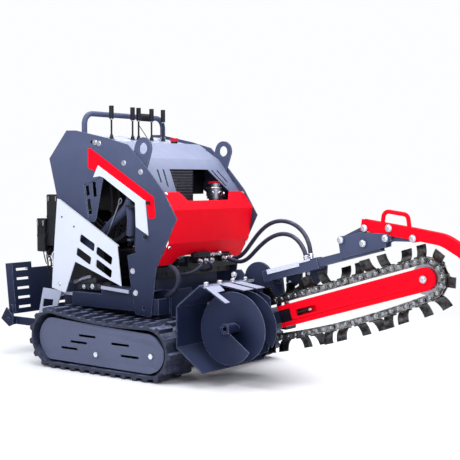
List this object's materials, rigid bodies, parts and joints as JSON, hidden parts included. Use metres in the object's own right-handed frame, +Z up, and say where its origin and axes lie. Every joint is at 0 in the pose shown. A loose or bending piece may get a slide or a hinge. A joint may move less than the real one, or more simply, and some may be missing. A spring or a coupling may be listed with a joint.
{
  "type": "tracked stand-on trencher",
  "caption": "Compact tracked stand-on carrier with a front hitch that tilts a chain trencher with a spoil auger and a crumber arm.",
  "frame": {"origin": "bottom centre of the bounding box, on the ground between the tracks' outer faces", "axes": "+X forward to the trencher's nose, +Y to the machine's left, +Z up"},
  "size_m": [2.842, 1, 1.412],
  "materials": {
    "slate_paint": "satin powder coat",
    "hood_paint": "satin powder coat",
    "panel_paint": "satin powder coat",
    "red_paint": "semi-gloss",
    "white_paint": "satin",
    "grey_paint": "satin",
    "black_paint": "satin",
    "track_rubber": "matt",
    "hose_rubber": "matt",
    "cast_metal": "rough",
    "bare_steel": "brushed",
    "zinc": "zinc plated",
    "chromed_rod": "polished",
    "black_plastic": "matt",
    "red_plastic": "gloss",
    "chain_steel": "oiled",
    "tooth_steel": "dark forged"
  },
  "bodies": {
    "chassis": {"lower_frame": "slate_paint", "track_frames": "slate_paint", "track_panels": "panel_paint", "track_belts": "track_rubber", "side_plates": "slate_paint", "red_trims": "red_paint", "white_trims": "white_paint", "guard_panels": "white_paint", "guard_brackets": "grey_paint", "hood": "hood_paint", "front_cover": "red_paint", "lifting_eyes": "slate_paint", "grab_bar": "slate_paint", "control_deck": "hood_paint", "control_valve": "cast_metal", "engine": "black_paint", "air_cleaner": "black_plastic", "hydraulic_tank": "black_paint", "oil_cooler": "black_paint", "oil_filter": "bare_steel", "coupler_block": "black_paint", "chassis_hoses": "hose_rubber", "chassis_bolts": "zinc", "hose_outer": "hose_rubber", "hose_inner": "hose_rubber"},
    "filler_cap": {"filler_cap": "red_plastic"},
    "cooling_fan": {"cooling_fan": "black_plastic"},
    "platform": {"platform": "slate_paint"},
    "tilt_cylinder": {"tilt_cylinder": "black_paint"},
    "tilt_rod": {"tilt_rod": "chromed_rod"},
    "hitch": {"hitch_frame": "slate_paint", "trencher_frame": "slate_paint", "spoil_shield": "slate_paint", "trencher_motor": "black_paint", "digging_chain": "chain_steel", "chain_teeth": "tooth_steel", "support_arm": "slate_paint", "attachment_bolts": "zinc"},
    "headshaft": {"headshaft": "bare_steel", "auger": "slate_paint"},
    "boom": {"boom": "red_paint"},
    "nose_roller": {"nose_roller": "bare_steel"},
    "support_tube": {"support_tube": "slate_paint"},
    "crumber_link_rear": {"crumber_link_rear": "slate_paint"},
    "crumber_link_front": {"crumber_link_front": "slate_paint"},
    "crumber": {"crumber_arm": "red_paint", "crumber_shoe": "red_paint"},
    "sprocket_right": {"drive_sprocket_right": "cast_metal"},
    "idler_right": {"idler_right": "cast_metal"},
    "roller_1_right": {"roller_1_right": "cast_metal"},
    "roller_2_right": {"roller_2_right": "cast_metal"},
    "sprocket_left": {"drive_sprocket_left": "cast_metal"},
    "idler_left": {"idler_left": "cast_metal"},
    "roller_1_left": {"roller_1_left": "cast_metal"},
    "roller_2_left": {"roller_2_left": "cast_metal"},
    "control_lever_1": {"control_lever_1": "black_paint"},
    "control_lever_2": {"control_lever_2": "black_paint"},
    "control_lever_3": {"control_lever_3": "black_paint"},
    "control_lever_4": {"control_lever_4": "black_paint"},
    "control_lever_5": {"control_lever_5": "black_paint"}
  },
  "joints": [
    {"name": "filler_cap_turn", "type": "hinge", "parent": "chassis", "child": "filler_cap", "pos_m": [-0.579, 0.185, 1.24], "axis": [0, 0, 1], "range_deg": [0, 90]},
    {"name": "cooling_fan_spin", "type": "hinge", "parent": "chassis", "child": "cooling_fan", "pos_m": [-0.434, -0.08, 0.98], "axis": [1, 0, 0], "continuous": true},
    {"name": "sprocket_right_spin", "type": "hinge", "parent": "chassis", "child": "sprocket_right", "pos_m": [-0.879, -0.385, 0.164], "axis": [0, 1, 0], "continuous": true},
    {"name": "idler_right_spin", "type": "hinge", "parent": "chassis", "child": "idler_right", "pos_m": [-0.189, -0.385, 0.148], "axis": [0, 1, 0], "continuous": true},
    {"name": "roller_1_right_spin", "type": "hinge", "parent": "chassis", "child": "roller_1_right", "pos_m": [-0.664, -0.385, 0.077], "axis": [0, 1, 0], "continuous": true},
    {"name": "roller_2_right_spin", "type": "hinge", "parent": "chassis", "child": "roller_2_right", "pos_m": [-0.424, -0.385, 0.077], "axis": [0, 1, 0], "continuous": true},
    {"name": "sprocket_left_spin", "type": "hinge", "parent": "chassis", "child": "sprocket_left", "pos_m": [-0.879, 0.385, 0.164], "axis": [0, 1, 0], "continuous": true},
    {"name": "idler_left_spin", "type": "hinge", "parent": "chassis", "child": "idler_left", "pos_m": [-0.189, 0.385, 0.148], "axis": [0, 1, 0], "continuous": true},
    {"name": "roller_1_left_spin", "type": "hinge", "parent": "chassis", "child": "roller_1_left", "pos_m": [-0.664, 0.385, 0.077], "axis": [0, 1, 0], "continuous": true},
    {"name": "roller_2_left_spin", "type": "hinge", "parent": "chassis", "child": "roller_2_left", "pos_m": [-0.424, 0.385, 0.077], "axis": [0, 1, 0], "continuous": true},
    {"name": "control_lever_1_tilt", "type": "hinge", "parent": "chassis", "child": "control_lever_1", "pos_m": [-0.684, -0.22, 1.19], "axis": [0, 1, 0], "range_deg": [-12, 12], "stiffness_Nm_per_rad": 6},
    {"name": "control_lever_2_tilt", "type": "hinge", "parent": "chassis", "child": "control_lever_2", "pos_m": [-0.684, -0.05, 1.19], "axis": [0, 1, 0], "range_deg": [-12, 12], "stiffness_Nm_per_rad": 6},
    {"name": "control_lever_3_tilt", "type": "hinge", "parent": "chassis", "child": "control_lever_3", "pos_m": [-0.684, 0, 1.19], "axis": [0, 1, 0], "range_deg": [-12, 12], "stiffness_Nm_per_rad": 6},
    {"name": "control_lever_4_tilt", "type": "hinge", "parent": "chassis", "child": "control_lever_4", "pos_m": [-0.684, 0.11, 1.19], "axis": [0, 1, 0], "range_deg": [-12, 12], "stiffness_Nm_per_rad": 6},
    {"name": "control_lever_5_tilt", "type": "hinge", "parent": "chassis", "child": "control_lever_5", "pos_m": [-0.684, 0.21, 1.19], "axis": [0, 1, 0], "range_deg": [-12, 12], "stiffness_Nm_per_rad": 6},
    {"name": "platform_fold", "type": "hinge", "parent": "chassis", "child": "platform", "pos_m": [-1.352, 0, 0.213], "axis": [0, 1, 0], "range_deg": [-80, 0]},
    {"name": "hitch_tilt", "type": "hinge", "parent": "chassis", "child": "hitch", "pos_m": [-0.134, 0, 0.11], "axis": [0, 1, 0], "range_deg": [-6, 40], "deforming": ["hose_outer", "hose_inner"]},
    {"name": "tilt_cylinder_swing", "type": "hinge", "parent": "chassis", "child": "tilt_cylinder", "pos_m": [-0.514, 0, 0.34], "axis": [0, 1, 0], "range_deg": [-1, 6]},
    {"name": "tilt_rod_stroke", "type": "slide", "parent": "tilt_cylinder", "child": "tilt_rod", "axis": [0.9955, 0, -0.0948], "range_m": [-0.02, 0.127]},
    {"name": "headshaft_spin", "type": "hinge", "parent": "hitch", "child": "headshaft", "pos_m": [0.229, -0.1, 0.296], "axis": [0, 1, 0], "continuous": true},
    {"name": "boom_tension", "type": "slide", "parent": "hitch", "child": "boom", "axis": [0.9577, 0, 0.2877], "range_m": [-0.03, 0]},
    {"name": "nose_roller_spin", "type": "hinge", "parent": "boom", "child": "nose_roller", "pos_m": [1.13117, -0.1, 0.56701], "axis": [0, 1, 0], "continuous": true},
    {"name": "support_tube_extend", "type": "slide", "parent": "hitch", "child": "support_tube", "axis": [0.9659, 0, 0.2588], "range_m": [0, 0.15]},
    {"name": "crumber_link_rear_swing", "type": "hinge", "parent": "support_tube", "child": "crumber_link_rear", "pos_m": [0.701, -0.1, 0.728], "axis": [0, 1, 0], "range_deg": [-6, 0]},
    {"name": "crumber_link_front_swing", "type": "hinge", "parent": "support_tube", "child": "crumber_link_front", "pos_m": [0.936, -0.1, 0.744], "axis": [0, 1, 0], "range_deg": [-14.5, 0]},
    {"name": "crumber_pivot", "type": "hinge", "parent": "crumber_link_rear", "child": "crumber", "pos_m": [0.823, -0.1, 0.787], "axis": [0, 1, 0], "range_deg": [0, 1.5]}
  ],
  "couplings": [
    {"joint": "idler_right_spin", "follows": "sprocket_right_spin", "ratio": 1.1379},
    {"joint": "roller_1_right_spin", "follows": "sprocket_right_spin", "ratio": 3},
    {"joint": "roller_2_right_spin", "follows": "sprocket_right_spin", "ratio": 3},
    {"joint": "idler_left_spin", "follows": "sprocket_left_spin", "ratio": 1.1379},
    {"joint": "roller_1_left_spin", "follows": "sprocket_left_spin", "ratio": 3},
    {"joint": "roller_2_left_spin", "follows": "sprocket_left_spin", "ratio": 3},
    {"joint": "tilt_cylinder_swing", "follows": "hitch_tilt", "ratio": 0.1424},
    {"joint": "tilt_rod_stroke", "follows": "hitch_tilt", "m_per_rad": 0.179},
    {"joint": "nose_roller_spin", "follows": "headshaft_spin", "ratio": 1},
    {"joint": "crumber_link_front_swing", "follows": "crumber_link_rear_swing", "ratio": 2.3556},
    {"joint": "crumber_pivot", "follows": "crumber_link_rear_swing", "ratio": -0.2135}
  ]
}
